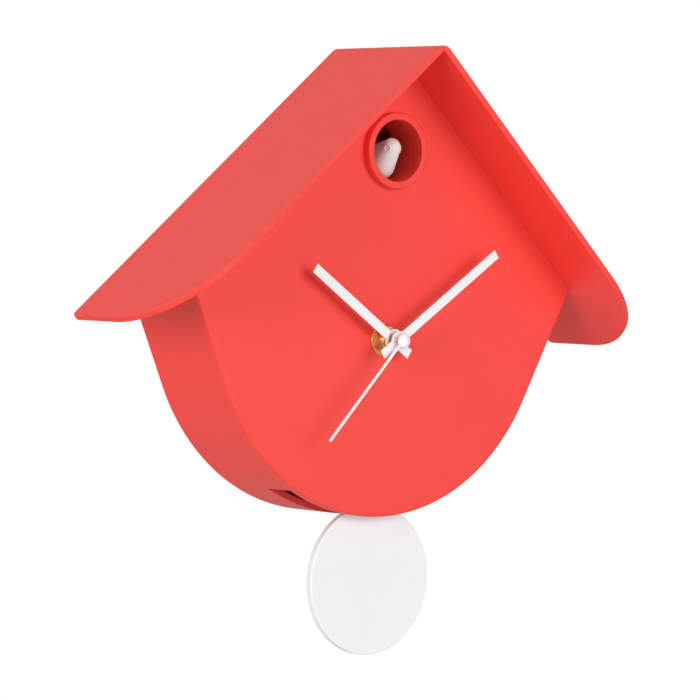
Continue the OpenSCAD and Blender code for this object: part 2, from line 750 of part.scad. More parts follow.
disc_mid = disc_depth + disc_t / 2;
disc_at = [pendulum_len * sin(pendulum_swing), arc_z - 108.1];
pivot_z = disc_at[1] + pendulum_len * cos(pendulum_swing);
magnet_drop = 14.5;
magnet_r = 4;
// The arm's foot, the rod's ends and the rod's radius, below the pivot
arm_len = 26;
rod_top = magnet_drop + magnet_r + 0.3;
rod_foot = pendulum_len - disc_r + 8;
rod_r = 1;

// Swings its children, drawn hanging plumb, to the stored position.
module swung() {
    translate([0, 0, pivot_z]) rotate([0, -pendulum_swing, 0]) translate([0, 0, -pivot_z]) children();
}

module pendulum_bracket() color(black) difference() {
    union() {
        block(-12, 12, 4.4, 19, pivot_z + 3, mv_z[0] - 0.02);
        block(-4, 4, 4.4, 6.2, pivot_z - 3, pivot_z + 3 + eps);
        block(-4, 4, 11.6, 13.2, pivot_z - 2, pivot_z + 3 + eps);
        block(-9.5, 9.5, 17.6, 19, pivot_z - 24, pivot_z + 3 + eps);
    }
    bar(0, pivot_z, 1.01, 4, 15);
}

module pendulum_coil() color(copper)
    tube(0, pivot_z - magnet_drop, 7.5, 2, 12.6, 4.98);

module pendulum_pin() color(steel) bar(0, pivot_z, 1, 4.6, 8.4);

module pendulum_arm() color(white) swung() difference() {
    union() {
        block(-2.2, 2.2, 6.8, 11, pivot_z - arm_len, pivot_z);
        bar(0, pivot_z, 2.4, 6.8, 4.2);
        bar(0, pivot_z - magnet_drop, 5.4, 6.8, 4.2);
    }
    bar(0, pivot_z, 1 + run_gap, 6, 6);
    bar(0, pivot_z - magnet_drop, magnet_r + 0.02, 8.5, 4);
    translate([0, front_y + disc_mid, pivot_z - arm_len - 1])
        cylinder(r = rod_r + 0.01, h = arm_len + 1 - rod_top + 0.1);
}

module pendulum_magnet() color(steel) swung() bar(0, pivot_z - magnet_drop, magnet_r, 8.52, 3);

module pendulum_rod() color(steel) swung() translate([0, front_y + disc_mid, pivot_z - rod_foot])
    cylinder(r = rod_r, h = rod_foot - rod_top);

module pendulum_disc() color(white) swung() difference() {
    lathe(0, pivot_z - pendulum_len, disc_depth) difference() {
        square([disc_r, disc_t]);
        translate([disc_r, 0]) mirror([1, 0]) edge_cut(0.6);
        translate([disc_r, disc_t]) mirror([1, 1]) edge_cut(0.6);
    }
    translate([0, front_y + disc_mid, pivot_z - rod_foot - 0.2])
        cylinder(r = rod_r + 0.01, h = 12);
}

// ------------------------------------------------------------------- the bird

head = [1.2, window_z + 1.3, 3.7];
rack_m = 0.8;
rack_n = 14;
wheel_n = 26;
pinion_n = 10;
wheel_m = 0.5;
rack_pitch_z = arc_z + 53;
gear_d = 23;
gear_z = rack_pitch_z - rack_m * rack_n / 2;
motor_z = gear_z - wheel_m * (wheel_n + pinion_n) / 2 - 0.05;
frame_x = [8.6, 10];

// Ball of the bird's body at depth d and height z.
module ball(d, z, r) { translate([0, front_y + d, z]) sphere(r = r, $fn = 32); }

module bird() color(white) difference() {
    union() {
        hull() {
            ball(head[0], head[1], head[2]);
            ball(6.6, window_z - 5.8, 5.2);
            ball(9.9, window_z - 1.9, 4.5);
        }
        // Eyes
        both_sides() hull() {
            translate([-head[2] * 0.86, front_y + head[0] - 1.6, head[1] - 0.6]) sphere(r = 0.5, $fn = 24);
            translate([-head[2] * 0.7, front_y + head[0] - 1.4, head[1] - 0.6]) sphere(r = 1.1, $fn = 24);
        }
    }
    block(-1.55, 1.55, 7.5, 20, rack_pitch_z + 0.4, rack_pitch_z + 3.6);
}

// Bar with rack teeth along its underside.
module bird_rack() color(white) {
    pitch = PI * rack_m;
    block(-1.5, 1.5, 7.6, 38, rack_pitch_z + 0.8, rack_pitch_z + 3.5);
    for (i = [-2 : 5]) let (d = gear_d + pitch * (i + 0.5))
        translate([-1.5, front_y + d, rack_pitch_z]) rotate([90, 0, 90]) linear_extrude(3)
            polygon([[-pitch * root_share / 2, dedendum * rack_m + eps],
                     [-pitch * pitch_share / 2, 0],
                     [-pitch * tip_share / 2, -addendum * rack_m],
                     [pitch * tip_share / 2, -addendum * rack_m],
                     [pitch * pitch_share / 2, 0],
                     [pitch * root_share / 2, dedendum * rack_m + eps]]);
}

module bird_frame() color(black) difference() {
    union() {
        both_sides() block(frame_x[0], frame_x[1], 15.6, 39, arc_z + 24.6, arc_z + 60);
        block(-frame_x[1], frame_x[1], 15.6, 39, arc_z + 24.6, arc_z + 26);
        block(-frame_x[1], frame_x[1], 15.6, 17, arc_z + 24.6, arc_z + 39);
        // Guides above and beside the rack
        block(-frame_x[1], frame_x[1], 16, 38.8, rack_pitch_z + 3.8, rack_pitch_z + 5.4);
        both_sides() block(1.9, 3, 34.8, 38.8, rack_pitch_z + 0.6, rack_pitch_z + 4);
        both_sides() block(1.9, 3, 15.6, 17.6, rack_pitch_z + 0.6, rack_pitch_z + 4);
        // Ears on the case's posts
        both_sides() block(9, 25, 15.6, 17, arc_z + 25, arc_z + 33);
    }
    cross_bar(-12, gear_d, gear_z, 1 + run_gap, 24);
    cross_bar(frame_x[0] - 1, gear_d, motor_z, 2.2, 3);
    both_sides() bar(frame_post[0], frame_post[1], 1.5, 15, 3);
}

module bird_frame_screws() color(steel) both_sides() {
    bar(frame_post[0], frame_post[1], 2.6, 17.02, 1.4);
    bar(frame_post[0], frame_post[1], 1, 9, 8.1);
}

// Round bar along X at depth d and height z, from x over length t.
module cross_bar(x, d, z, r, t) {
    translate([x, front_y + d, z]) rotate([0, 90, 0]) cylinder(r = r, h = t);
}

// Gear about X at depth d and height z, from x over width t.
module cross_gear(x, d, z, n, m, t, phase) {
    translate([x, front_y + d, z]) rotate([90, 0, 90]) linear_extrude(t) polygon(gear_points(n, m, phase));
}

module rack_gear() color(white) {
    cross_gear(-1.4, gear_d, gear_z, rack_n, rack_m, 4.5, 90);
    cross_gear(3.1, gear_d, gear_z, wheel_n, wheel_m, 2, 270);
    cross_bar(-9.6, gear_d, gear_z, 1, 19.2);
}

module motor() color(steel) difference() {
    union() {
        intersection() {
            cross_bar(frame_x[1] + 0.05, gear_d, motor_z, 6, 15);
            block(0, 40, gear_d - 5, gear_d + 5, motor_z - 7, motor_z + 7);
        }
        cross_bar(frame_x[0] + 0.3, gear_d, motor_z, 2.1, 2);
    }
    cross_bar(0, gear_d, motor_z, 0.75 + run_gap, frame_x[1] + 5);
}

module motor_pinion() color(brass) {
    cross_gear(2.9, gear_d, motor_z, pinion_n, wheel_m, 2.4, mesh_phase(270, wheel_n, pinion_n, 270));
    cross_bar(2.9, gear_d, motor_z, 0.75, frame_x[1] + 1.6);
}

// ------------------------------------------------------------ sound and switch

module speaker_basket() color(steel) difference() {
    union() {
        bar(speaker[0], speaker[1], 18, 38.3, 1.2, 96);
        lathe(speaker[0], speaker[1], 0) polygon([[0, 30], [10, 30], [16.5, 38.3 + eps], [0, 38.3 + eps]]);
    }
    lathe(speaker[0], speaker[1], 0) polygon([[0, 30.8], [9.4, 30.8], [16, 39.6], [0, 39.6]]);
}

module speaker_cone() color(black) lathe(speaker[0], speaker[1], 0)
    polygon([[0, 34.6], [4, 35.2], [5, 34.2], [14.8, 38.9], [14.8, 39.3], [5, 34.7], [4, 35.7], [0, 35.1]]);

module speaker_magnet() color(steel) bar(speaker[0], speaker[1], 9, 25.5, 4.48, 96);

board_x = [-35, -7];
board_z = [arc_z - 62.2, arc_z - 48.2];
board_d = 24;
board_t = 1.6;

module sound_board() color(green)
    block(board_x[0], board_x[1], board_d, board_d + board_t, board_z[0], board_z[1]);

// Chip and two capacitors on the board's rear side
module board_parts() color(black) {
    block(-26, -16, board_d + board_t + 0.02, board_d + board_t + 1.8, board_z[0] + 4, board_z[0] + 12);
    for (p = [[-31, board_z[0] + 4], [-11, board_z[1] - 4]])
        bar(p[0], p[1], 2.6, board_d + board_t + 0.02, 5.5, 48);
}

module light_sensor() color([0.85, 0.55, 0.3]) {
    bar(-24, board_z[0] + 3.2, 2.5, 21.4, 2, 48);
    for (x = [-25.2, -22.8]) bar(x, board_z[0] + 3.2, 0.3, 23.39, board_d - 23.41, 24);
}

module switch_body() color(black) difference() {
    block(switch_x - 7, switch_x + 7, 34.4, cover_d - 0.02, switch_z - 3.5, switch_z + 3.5);
    block(switch_x - 4.6, switch_x + 4.6, 36, cover_d + 1, switch_z - 1.9, switch_z + 1.9);
}

module switch_slider() color(white) {
    block(switch_x - 4, switch_x - 1, 37.6, case_depth - 0.4, switch_z - 1.4, switch_z + 1.4);
    block(switch_x - 4.3, switch_x - 0.7, 36.3, 38.2, switch_z - 1.6, switch_z + 1.6);
}

case_shell();
roof();
roof_screws();
window_ring();
back_cover();
cover_screws();
hanger_plate();
hanger_rivets();
battery_door();
battery_box();
bird_cells();
clock_cell();
cell_springs();
cell_tabs();
movement_front();
movement_back();
threaded_bush();
hex_nut();
dial_washer();
rubber_washer();
mid_plate();
drive_coil();
coil_core();
stator();
circuit_board();
rotor();
intermediate_wheel();
seconds_wheel();
second_hand();
second_cap();
third_wheel();
clutch_wheel();
minute_pipe();
minute_hand();
reversing_wheel();
hour_wheel();
hour_hand();
setting_knob();
pendulum_bracket();
pendulum_coil();
pendulum_pin();
pendulum_arm();
pendulum_magnet();
pendulum_rod();
pendulum_disc();
bird();
bird_rack();
bird_frame();
bird_frame_screws();
rack_gear();
motor();
motor_pinion();
speaker_basket();
speaker_cone();
speaker_magnet();
sound_board();
board_parts();
light_sensor();
switch_body();
switch_slider();
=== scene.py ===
"""Looks of the wall cuckoo clock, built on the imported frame.

Lengths are in millimetres until a mesh is made. A clock angle runs clockwise from 12.
"""

import json
import math
import bmesh
import bpy
from mathutils import Matrix, Vector


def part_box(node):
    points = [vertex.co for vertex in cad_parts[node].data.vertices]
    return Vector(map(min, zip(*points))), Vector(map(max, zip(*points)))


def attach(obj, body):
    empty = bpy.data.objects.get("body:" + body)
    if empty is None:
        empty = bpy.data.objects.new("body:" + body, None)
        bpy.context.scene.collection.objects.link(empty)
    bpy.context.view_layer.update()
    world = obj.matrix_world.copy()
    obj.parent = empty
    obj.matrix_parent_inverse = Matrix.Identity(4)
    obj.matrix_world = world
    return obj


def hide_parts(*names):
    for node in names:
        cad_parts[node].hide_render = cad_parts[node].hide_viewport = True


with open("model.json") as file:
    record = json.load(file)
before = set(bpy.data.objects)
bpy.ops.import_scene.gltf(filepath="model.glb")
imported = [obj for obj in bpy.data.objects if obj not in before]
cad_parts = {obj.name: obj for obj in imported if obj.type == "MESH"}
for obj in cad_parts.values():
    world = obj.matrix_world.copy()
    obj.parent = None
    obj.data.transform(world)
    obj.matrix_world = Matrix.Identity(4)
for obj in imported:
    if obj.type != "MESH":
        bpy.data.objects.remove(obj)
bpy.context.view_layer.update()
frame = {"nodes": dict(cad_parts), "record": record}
scene = bpy.context.scene
record = frame["record"]

MM = 0.001
slot_of = {s["node"]: s["material_slot"] for s in record["subparts"]}
body_of = {n: b for b, nodes in record["behaviour"]["bodies"].items() for n in nodes}


def box_mm(node):
    """Lowest and highest corner of a CAD node, in millimetres."""
    lo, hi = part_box(node)
    return lo / MM, hi / MM


def middle(node):
    """Centre of a CAD node's box, in millimetres."""
    lo, hi = box_mm(node)
    return (lo + hi) / 2


# ---------------------------------------------------------------- driving dimensions

case_lo, case_hi = box_mm("case_shell")
front_y = case_lo.y
case_depth = case_hi.y - case_lo.y
arc_r = 83.0
arc_z = case_lo.z + arc_r
apex_z = case_hi.z
wall = 2.5
side_taper = math.radians(25.6)
# The CAD's sides lie this far inside its round bottom's tangents
side_inset = 0.005
case_edge_r = 1.2

roof_lo, roof_hi = box_mm("roof")
roof_slope = math.radians(42.5)
roof_t = 2.6
roof_len = 166.0
roof_corner_r = 38.8
roof_back_r = 2.0
ridge_r = 4.6
roof_edge_r = 0.9

ring_lo, ring_hi = box_mm("window_ring")
window = middle("window_ring")
window_r = 12.0
ring_r = (ring_hi.x - ring_lo.x) / 2
ring_out = front_y - ring_lo.y
tunnel_r = window_r + 0.3
tunnel_depth = 14.3

# The hands' axis, which runs along Y
axis = middle("hex_nut")
hands_at = Vector((axis.x, 0, axis.z))
bush_r = 4.0
pipe_r = 1.6
hand_t = 0.5


def depth(d):
    """Y of a plane d millimetres behind the dial's face."""
    return front_y + d


# ------------------------------------------------------------------------- materials


def node_tree(name):
    """New node material: the material, its tree, and its Principled shader."""
    mat = bpy.data.materials.new(name)
    mat.use_nodes = True
    return mat, mat.node_tree, mat.node_tree.nodes["Principled BSDF"]


def on_object(tree, texture, stretch=None):
    """Lays a texture in object space, stretched along the axes if asked."""
    source = tree.nodes.new("ShaderNodeTexCoord").outputs["Object"]
    if stretch is not None:
        mapping = tree.nodes.new("ShaderNodeMapping")
        mapping.inputs["Scale"].default_value = stretch
        tree.links.new(source, mapping.inputs["Vector"])
        source = mapping.outputs["Vector"]
    tree.links.new(source, texture.inputs["Vector"])


def noise(tree, scale, detail, stretch=None):
    """Noise in object space."""
    texture = tree.nodes.new("ShaderNodeTexNoise")
    texture.inputs["Scale"].default_value = scale
    texture.inputs["Detail"].default_value = detail
    on_object(tree, texture, stretch)
    return texture.outputs["Fac"]


def waves(tree, scale, distortion):
    """Wavy bands in object space."""
    texture = tree.nodes.new("ShaderNodeTexWave")
    texture.inputs["Scale"].default_value = scale
    texture.inputs["Distortion"].default_value = distortion
    on_object(tree, texture)
    return texture.outputs["Fac"]


def checks(tree, scale):
    """Fine checks in object space."""
    texture = tree.nodes.new("ShaderNodeTexChecker")
    texture.inputs["Scale"].default_value = scale
    on_object(tree, texture)
    return texture.outputs["Fac"]


def mapped(tree, value, source, target):
    """Maps a value from one range to another."""
    node = tree.nodes.new("ShaderNodeMapRange")
    node.inputs["From Min"].default_value, node.inputs["From Max"].default_value = source
    node.inputs["To Min"].default_value, node.inputs["To Max"].default_value = target
    tree.links.new(value, node.inputs["Value"])
    return node.outputs["Result"]


def coloured(tree, shader, value, first, second):
    """Blends two close colours by a texture's value."""
    ramp = tree.nodes.new("ShaderNodeValToRGB")
    for element, position, colour in zip(ramp.color_ramp.elements, (0.35, 0.65), (first, second)):
        element.position = position
        element.color = (*colour, 1)
    tree.links.new(value, ramp.inputs["Fac"])
    tree.links.new(ramp.outputs["Color"], shader.inputs["Base Color"])


def roughened(tree, shader, value, low, high):
    """Makes the roughness run from low to high by a texture's value."""
    tree.links.new(mapped(tree, value, (0.3, 0.7), (low, high)), shader.inputs["Roughness"])


def bumped(tree, shader, value, strength, height):
    """Bumps the surface by a texture's value; the height is in millimetres."""
    bump = tree.nodes.new("ShaderNodeBump")
    bump.inputs["Strength"].default_value = strength
    bump.inputs["Distance"].default_value = height * MM
    tree.links.new(value, bump.inputs["Height"])
    tree.links.new(bump.outputs["Normal"], shader.inputs["Normal"])


def shade(colour, factor):
    """A colour made lighter or darker."""
    return tuple(min(1.0, c * factor) for c in colour)


def moulded(name, colour, rough, relief, vary):
    """Moulded plastic: fine spark-eroded grain, slight sheen changes and faint colour drift."""
    mat, tree, shader = node_tree(name)
    drift = noise(tree, scale=35.0, detail=4.0)
    sheen = noise(tree, scale=160.0, detail=5.0)
    grain = noise(tree, scale=900.0, detail=2.0)
    coloured(tree, shader, drift, shade(colour, 1 - vary), shade(colour, 1 + vary))
    roughened(tree, shader, sheen, rough - 0.03, rough + 0.03)
    bumped(tree, shader, grain, strength=0.35, height=relief)
    return mat


def metal(name, colour, rough, stretch, relief=0.02, vary=0.06):
    """Metal with drawn or turned marks along one direction."""
    mat, tree, shader = node_tree(name)
    shader.inputs["Metallic"].default_value = 1.0
    drift = noise(tree, scale=90.0, detail=5.0)
    marks = noise(tree, scale=260.0, detail=6.0, stretch=stretch)
    coloured(tree, shader, drift, shade(colour, 1 - vary), shade(colour, 1 + vary))
    roughened(tree, shader, marks, rough - 0.08, rough + 0.1)
    bumped(tree, shader, marks, strength=0.3, height=relief)
    return mat


def enamel(name, colour, rough, vary=0.015):
    """Sprayed enamel: a faint orange peel under a satin coat."""
    mat, tree, shader = node_tree(name)
    drift = noise(tree, scale=40.0, detail=4.0)
    sheen = noise(tree, scale=220.0, detail=4.0)
    peel = noise(tree, scale=480.0, detail=3.0)
    coloured(tree, shader, drift, shade(colour, 1 - vary), shade(colour, 1 + vary))
    roughened(tree, shader, sheen, rough - 0.05, rough + 0.05)
    bumped(tree, shader, peel, strength=0.3, height=0.02)
    shader.inputs["Coat Weight"].default_value = 0.15
    shader.inputs["Coat Roughness"].default_value = 0.3
    return mat


def jacket(name):
    """Printed cell jacket: a dark wrap with faint stripes and no lettering."""
    mat, tree, shader = node_tree(name)
    shader.inputs["Metallic"].default_value = 0.4
    stripes = waves(tree, scale=22.0, distortion=0.4)
    sheen = noise(tree, scale=300.0, detail=4.0)
    coloured(tree, shader, stripes, (0.035, 0.037, 0.045), (0.075, 0.078, 0.09))
    roughened(tree, shader, sheen, 0.24, 0.34)
    bumped(tree, shader, noise(tree, scale=700.0, detail=2.0), strength=0.2, height=0.01)
    return mat


def winding(name, colour):
    """Enamelled wire: coppery and glossy, with a fine run of turns."""
    mat, tree, shader = node_tree(name)
    shader.inputs["Metallic"].default_value = 0.85
    drift = noise(tree, scale=400.0, detail=4.0)
    sheen = noise(tree, scale=300.0, detail=3.0)
    coloured(tree, shader, drift, shade(colour, 0.85), shade(colour, 1.1))
    roughened(tree, shader, sheen, 0.25, 0.38)
    bumped(tree, shader, noise(tree, scale=1200.0, detail=2.0), strength=0.3, height=0.02)
    return mat


def board(name):
    """Green solder mask over fibre weave."""
    mat, tree, shader = node_tree(name)
    drift = noise(tree, scale=500.0, detail=2.0)
    sheen = noise(tree, scale=250.0, detail=4.0)
    coloured(tree, shader, drift, (0.012, 0.13, 0.055), (0.02, 0.19, 0.08))
    roughened(tree, shader, sheen, 0.26, 0.36)
    bumped(tree, shader, checks(tree, scale=1400.0), strength=0.15, height=0.01)
    return mat


def paper(name):
    """Pressed paper cone with short fibres."""
    mat, tree, shader = node_tree(name)
    fibres = noise(tree, scale=700.0, detail=8.0, stretch=(1.0, 1.0, 3.0))
    coloured(tree, shader, fibres, (0.03, 0.03, 0.032), (0.075, 0.073, 0.07))
    roughened(tree, shader, fibres, 0.8, 0.95)
    bumped(tree, shader, fibres, strength=0.6, height=0.06)
    return mat


def resin(name):
    """Clear-coated light sensor with its zigzag track."""
    mat, tree, shader = node_tree(name)
    track = waves(tree, scale=420.0, distortion=3.0)
    sheen = noise(tree, scale=300.0, detail=3.0)
    coloured(tree, shader, track, (0.55, 0.12, 0.04), (0.8, 0.5, 0.24))
    roughened(tree, shader, sheen, 0.12, 0.2)
    bumped(tree, shader, noise(tree, scale=500.0, detail=2.0), strength=0.1, height=0.01)
    shader.inputs["Coat Weight"].default_value = 0.6
    return mat


RED = (0.9, 0.053, 0.039)
BLACK = (0.02, 0.02, 0.022)
BONE = (0.84, 0.84, 0.835)
WHITE = (0.865, 0.87, 0.88)
BRASS = (0.84, 0.62, 0.30)
STEEL = (0.62, 0.63, 0.65)
SOOT = (0.022, 0.022, 0.023)
COPPER = (0.72, 0.33, 0.17)

materials = {
    "red_plastic": moulded("red_plastic", RED, rough=0.5, relief=0.015, vary=0.005),
    "black_plastic": moulded("black_plastic", BLACK, rough=0.48, relief=0.04, vary=0.12),
    "white_plastic": moulded("white_plastic", BONE, rough=0.42, relief=0.015, vary=0.015),
    "white_enamel": enamel("white_enamel", WHITE, rough=0.42),
    "brass": metal("brass", BRASS, rough=0.34, stretch=(1.0, 9.0, 1.0), relief=0.008),
    "steel": metal("steel", STEEL, rough=0.34, stretch=(1.0, 1.0, 12.0)),
    "cell_jacket": jacket("cell_jacket"),
    "rubber": moulded("rubber", SOOT, rough=0.75, relief=0.05, vary=0.1),
    "copper_wire": winding("copper_wire", COPPER),
    "green_board": board("green_board"),
    "cone_paper": paper("cone_paper"),
    "sensor_resin": resin("sensor_resin"),
}


# ---------------------------------------------------------------------- mesh helpers


def mesh_piece(name, points, faces):
    """Mesh object from points in millimetres, with its normals outward."""
    mesh = bpy.data.meshes.new(name)
    mesh.from_pydata([Vector(p) * MM for p in points], [], faces)
    bm = bmesh.new()
    bm.from_mesh(mesh)
    bmesh.ops.remove_doubles(bm, verts=bm.verts, dist=1e-7)
    bmesh.ops.dissolve_degenerate(bm, edges=bm.edges, dist=1e-8)
    bmesh.ops.recalc_face_normals(bm, faces=bm.faces)
    bm.to_mesh(mesh)
    bm.free()
    piece = bpy.data.objects.new(name, mesh)
    scene.collection.objects.link(piece)
    return piece


def loft(name, rings, closed=False):
    """Skin over rings of equal point count: capped at both ends, or closed on itself."""
    count = len(rings[0])
    points = [p for ring in rings for p in ring]
    faces = []
    last = len(rings) if closed else len(rings) - 1
    for k in range(last):
        a, b = k * count, (k + 1) % len(rings) * count
        for i in range(count):
            j = (i + 1) % count
            faces.append((a + i, a + j, b + j, b + i))
    if not closed:
        faces.append(tuple(range(count)))
        faces.append(tuple(range(len(points) - count, len(points))))
    return mesh_piece(name, points, faces)


def around(steps):
    """Angles of equal steps round a full turn."""
    return [2 * math.pi * i / steps for i in range(steps)]


# A place function puts a turned profile's (across, up, along) in the frame.


def place_y(centre):
    """Place function of a Y axis through centre."""
    return lambda a, b, s: (centre.x + a, s, centre.z + b)


def place_z(centre):
    """Place function of a Z axis through centre."""
    return lambda a, b, s: (centre.x + a, centre.y + b, s)


def place_on(foot, up):
    """Place function of an axis that runs up from foot, square to Y."""
    side = Vector((0, 1, 0))
    other = up.cross(side)
    return lambda a, b, s: foot + side * a + other * b + up * s


def lathe(name, profile, place, closed=False, steps=96):
    """Turns a profile of (radius, place along the axis) round its axis."""
    rings = []
    for r, s in profile:
        rings.append([place(r * math.cos(t), r * math.sin(t), s) for t in around(steps)])
    return loft(name, rings, closed)


def rounded(corners, steps=4):
    """Outline whose corners (a, b, radius) are rounded."""
    out = []
    for i, (a, b, r) in enumerate(corners):
        here = Vector((a, b))
        if r <= 0:
            out.append(here)
            continue
        back = (Vector(corners[i - 1][:2]) - here).normalized()
        ahead = (Vector(corners[(i + 1) % len(corners)][:2]) - here).normalized()
        half = back.angle(ahead) / 2
        centre = here + (back + ahead).normalized() * (r / math.sin(half))
        start = here + back * (r / math.tan(half)) - centre
        end = here + ahead * (r / math.tan(half)) - centre
        span = start.angle(end)
        for k in range(steps + 1):
            t = k / steps
            swept = start * math.sin((1 - t) * span) + end * math.sin(t * span)
            out.append(centre + swept / math.sin(span))
    return out


def turned(name, corners, centre, closed=True, steps=96):
    """Turned piece on the Y axis from a profile of (radius, y, corner radius)."""
    return lathe(name, rounded(corners), place_y(centre), closed, steps)


def prism(name, outline, y0, y1):
    """Outline of (x, z) drawn out from y0 to y1."""
    return loft(name, [[(x, y, z) for x, z in outline] for y in (y0, y1)])


def block(name, lo, hi):
    """Cutting block between two corners."""
    outline = [(lo[0], lo[2]), (hi[0], lo[2]), (hi[0], hi[2]), (lo[0], hi[2])]
    return prism(name, outline, lo[1], hi[1])


def bore_tool(name, centre, r, y0, y1):
    """Cutting cylinder on the Y axis."""
    return lathe(name, [(r, y0), (r, y1)], place_y(centre))


def settle(piece):
    """Bakes a piece's modifiers into its mesh."""
    graph = bpy.context.evaluated_depsgraph_get()
    mesh = bpy.data.meshes.new_from_object(piece.evaluated_get(graph))
    piece.modifiers.clear()
    piece.data = mesh


def combine(piece, operation, *tools):
    """Joins or cuts a piece with tools, which are used up."""
    for tool in tools:
        modifier = piece.modifiers.new("combine", "BOOLEAN")
        modifier.object = tool
        modifier.operation = operation
        modifier.solver = "EXACT"
        settle(piece)
        bpy.data.objects.remove(tool)


def gather(piece, *others):
    """Joins separate bodies of one piece into one mesh without cutting them."""
    bm = bmesh.new()
    for part in (piece, *others):
        bm.from_mesh(part.data)
    bm.to_mesh(piece.data)
    bm.free()
    for part in others:
        bpy.data.objects.remove(part)


def turn_about(piece, pivot, angle):
    """Turns a piece clockwise, seen from the front, about a point in millimetres."""
    move = Matrix.Translation(pivot * MM)
    piece.data.transform(move @ Matrix.Rotation(angle, 4, "Y") @ move.inverted())


def bevelled(piece, width, angle, steps):
    """Small bevel along the edges sharper than an angle."""
    bevel = piece.modifiers.new("edge", "BEVEL")
    bevel.width = width * MM
    bevel.segments = steps
    bevel.limit_method = "ANGLE"
    bevel.angle_limit = math.radians(angle)
    return bevel


def sharpen(piece, angle=35.0):
    """Marks edges above an angle as sharp, for a piece that has its own fillets."""
    bm = bmesh.new()
    bm.from_mesh(piece.data)
    for edge in bm.edges:
        folded = len(edge.link_faces) == 2 and edge.calc_face_angle(0) > math.radians(angle)
        edge.smooth = not folded
    bm.to_mesh(piece.data)
    bm.free()


def stand_for(piece, node, width=0.0, angle=30.0, steps=2):
    """Finishes a piece that takes a CAD node's place; a width bevels its edges."""
    if width <= 0:
        sharpen(piece)
    for face in piece.data.polygons:
        face.use_smooth = True
    if width > 0:
        bevelled(piece, width, angle, steps).miter_outer = "MITER_ARC"
    weighted = piece.modifiers.new("normals", "WEIGHTED_NORMAL")
    weighted.keep_sharp = width <= 0
    slot = slot_of[node]
    piece.data.materials.clear()
    piece.data.materials.append(materials[slot])
    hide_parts(node)
    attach(piece, body_of[node])


def dress(node, width):
    """Gives a CAD node that keeps its shape its material and, where it shows, soft edges."""
    piece = frame["nodes"][node]
    piece.data.materials.clear()
    piece.data.materials.append(materials[slot_of[node]])
    if width > 0:
        weld = piece.modifiers.new("weld", "WELD")
        weld.merge_threshold = 1e-6
        bevelled(piece, width, angle=30.0, steps=2)
        piece.modifiers.new("normals", "WEIGHTED_NORMAL")


# -------------------------------------------------------------------------- the case


def case_outline(inset_side, inset_roof, y, arc_steps=110, side_steps=6):
    """Points of the case's outline: apex, right corner and side, round bottom, left side."""
    normal = Vector((math.cos(side_taper), -math.sin(side_taper)))
    along = Vector((math.sin(side_taper), math.cos(side_taper)))
    r = arc_r - side_inset - inset_side
    up = Vector((math.sin(roof_slope), math.cos(roof_slope)))
    reach = (apex_z - arc_z) * math.cos(roof_slope) - inset_roof
    # The side line, normal.p = r, meets the roof line, up.p = reach, in the corner
    corner = r * normal + along * ((reach - r * up.dot(normal)) / up.dot(along))
    tangent = r * normal
    right = [corner.lerp(tangent, k / side_steps) for k in range(side_steps)]
    span = math.pi - 2 * side_taper
    turns = [-side_taper - span * k / arc_steps for k in range(arc_steps + 1)]
    round_part = [r * Vector((math.cos(t), math.sin(t))) for t in turns]
    left = [Vector((-p.x, p.y)) for p in reversed(right)]
    top = [Vector((0, reach / math.cos(roof_slope)))]
    return [(p.x, y, arc_z + p.y) for p in top + right + round_part + left]


def screw_post(at, end, bore):
    """Post on the dial's rear face, with a blind bore for a screw in its end."""
    post_r, bore_depth = 3.4, 8
    foot, tip, bottom = depth(wall - 0.1), depth(end), depth(end - bore_depth)
    profile = [(post_r, foot, 0), (post_r, tip, 0.2), (bore, tip, 0.15), (bore, bottom, 0),
               (0, bottom, 0), (0, foot, 0)]
    return turned("post", profile, at, steps=32)


def case_shell():
    """The hollow case: dial, round bottom and sides, open at the rear."""
    fillet_steps, rear_r = 8, 0.3
    rings = []
    for k in range(fillet_steps + 1):
        turn = k / fillet_steps * math.pi / 2
        inset = case_edge_r * (1 - math.sin(turn))
        y = depth(case_edge_r * (1 - math.cos(turn)))
        # The edge under the roof stays all but square, as the roof covers it
        rings.append(case_outline(inset, 0.02 * inset, y))
    rings.append(case_outline(0, 0, depth(case_depth - rear_r)))
    rings.append(case_outline(rear_r, rear_r, depth(case_depth)))
    shell = loft("case_look", rings)
    cavity = [case_outline(wall, wall, depth(d)) for d in (wall, case_depth + 1)]
    combine(shell, "DIFFERENCE", loft("cavity", cavity))

    tube_r, bush_hole_r = window_r + wall + 0.6, bush_r + 0.2
    seat_r, seat_depth = window_r + 1.4, 2.4
    combine(shell, "UNION",
            bore_tool("tunnel", window, tube_r, depth(wall - 0.5), depth(tunnel_depth)))
    slot_half, slot_front, slot_back, slot_top = 38.3, 5, 19, arc_z - 69
    combine(shell, "DIFFERENCE",
            bore_tool("window", window, tunnel_r, depth(-1), depth(case_depth)),
            bore_tool("seat", window, seat_r, depth(-1), depth(seat_depth)),
            bore_tool("bush_hole", hands_at, bush_hole_r, depth(-1), depth(wall + 2)),
            block("slot", (-slot_half, depth(slot_front), case_lo.z - 5),
                  (slot_half, depth(slot_back), slot_top)))

    # Three pairs of posts carry the rear cover, and a short pair carries the bird's drive
    cover_end, cover_bore, drive_end, drive_bore = 39.6, 1.15, 15.4, 1.05
    posts = []
    for side in (-1, 1):
        for x, z, end, bore in ((17, -5, cover_end, cover_bore),
                                (80, arc_z + 2, cover_end, cover_bore),
                                (40, arc_z - 62, cover_end, cover_bore),
                                (21, arc_z + 29, drive_end, drive_bore)):
            posts.append(screw_post(Vector((side * x, 0, z)), end, bore))
    gather(shell, *posts)
    stand_for(shell, "case_shell")


def roof_ways(side):
    """Directions down a roof slab and out of it, on the side -1 or 1."""
    along = Vector((side * math.cos(roof_slope), 0, -math.sin(roof_slope)))
    out = Vector((side * math.sin(roof_slope), 0, math.cos(roof_slope)))
    return along, out


